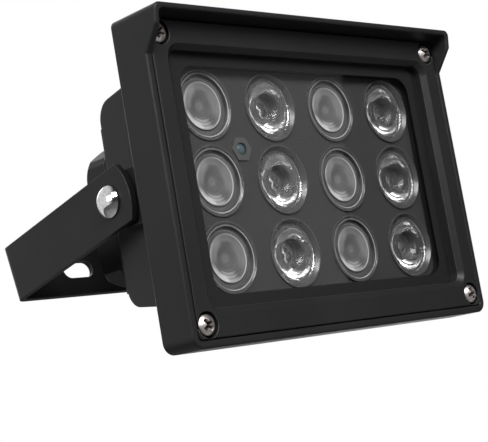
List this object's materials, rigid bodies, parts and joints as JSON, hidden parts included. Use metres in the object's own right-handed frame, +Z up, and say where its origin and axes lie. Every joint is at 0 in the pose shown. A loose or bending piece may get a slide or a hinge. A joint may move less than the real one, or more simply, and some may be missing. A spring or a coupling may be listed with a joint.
{
  "type": "infrared illuminator",
  "caption": "Rectangular infrared floodlight with a short hood, a grid of lenses behind glass, cooling fins and a folded U-bracket that lets it tilt.",
  "frame": {"origin": "middle of the outer, wall-side face of the bracket's base plate", "axes": "+Y into the wall, +Z up, +X along the base plate; the lamp looks towards -Y and 12.5 degrees down"},
  "size_m": [0.165, 0.1308, 0.1194],
  "materials": {
    "bracket_coat": "satin dark grey powder coat on steel",
    "casing_coat": "fine satin black powder coat on cast aluminium",
    "chrome_bolt": "polished chrome",
    "washer_plastic": "dark nylon",
    "plated_screw": "nickel plated",
    "clear_glass": "clear tempered glass with a dark printed border",
    "black_rubber": "silicone rubber",
    "plate_grey": "matt dark grey",
    "board_metal": "metal-core board",
    "board_plastic": "glass-fibre board",
    "holder_plastic": "smoked dark plastic",
    "frosted_lens": "clear acrylic with a frosted dish",
    "clear_lens": "polished clear acrylic",
    "led_resin": "clear resin",
    "sensor_resin": "blue-green resin",
    "core_ferrite": "ferrite and tape",
    "capacitor_can": "sleeved can",
    "gland_plastic": "black nylon"
  },
  "bodies": {
    "bracket": {"mounting_bracket": "bracket_coat"},
    "lamp_head": {"board_screws": "plated_screw", "cover_screws": "plated_screw", "driver_board": "board_plastic", "driver_board_screws": "plated_screw", "driver_capacitors": "capacitor_can", "driver_choke": "core_ferrite", "driver_cover": "casing_coat", "driver_cover_screws": "plated_screw", "driver_gasket": "black_rubber", "driver_transformer": "core_ferrite", "front_cover": "casing_coat", "front_gasket": "black_rubber", "front_glass": "clear_glass", "gland_body": "gland_plastic", "gland_locknut": "gland_plastic", "gland_nut": "gland_plastic", "gland_seal": "black_rubber", "lamp_housing": "casing_coat", "led_board": "board_metal", "led_emitters": "led_resin", "lens_holder_1_1": "holder_plastic", "lens_holder_1_2": "holder_plastic", "lens_holder_1_3": "holder_plastic", "lens_holder_1_4": "holder_plastic", "lens_holder_2_1": "holder_plastic", "lens_holder_2_2": "holder_plastic", "lens_holder_2_3": "holder_plastic", "lens_holder_2_4": "holder_plastic", "lens_holder_3_1": "holder_plastic", "lens_holder_3_2": "holder_plastic", "lens_holder_3_3": "holder_plastic", "lens_holder_3_4": "holder_plastic", "lens_plate": "plate_grey", "light_sensor": "sensor_resin", "pivot_bolt_left": "chrome_bolt", "pivot_bolt_right": "chrome_bolt", "pivot_washer_left": "washer_plastic", "pivot_washer_right": "washer_plastic", "plate_screws": "plated_screw", "sensor_holder": "holder_plastic", "spot_lens_1_2": "clear_lens", "spot_lens_1_4": "clear_lens", "spot_lens_2_2": "clear_lens", "spot_lens_2_4": "clear_lens", "spot_lens_3_2": "clear_lens", "spot_lens_3_4": "clear_lens", "wide_lens_1_1": "frosted_lens", "wide_lens_1_3": "frosted_lens", "wide_lens_2_1": "frosted_lens", "wide_lens_2_3": "frosted_lens", "wide_lens_3_1": "frosted_lens", "wide_lens_3_3": "frosted_lens"}
  },
  "joints": [
    {"name": "head_tilt", "type": "hinge", "parent": "bracket", "child": "lamp_head", "pos_m": [0, -0.07, 0], "axis": [1, 0, 0], "range_deg": [-102.5, 77.5]}
  ]
}
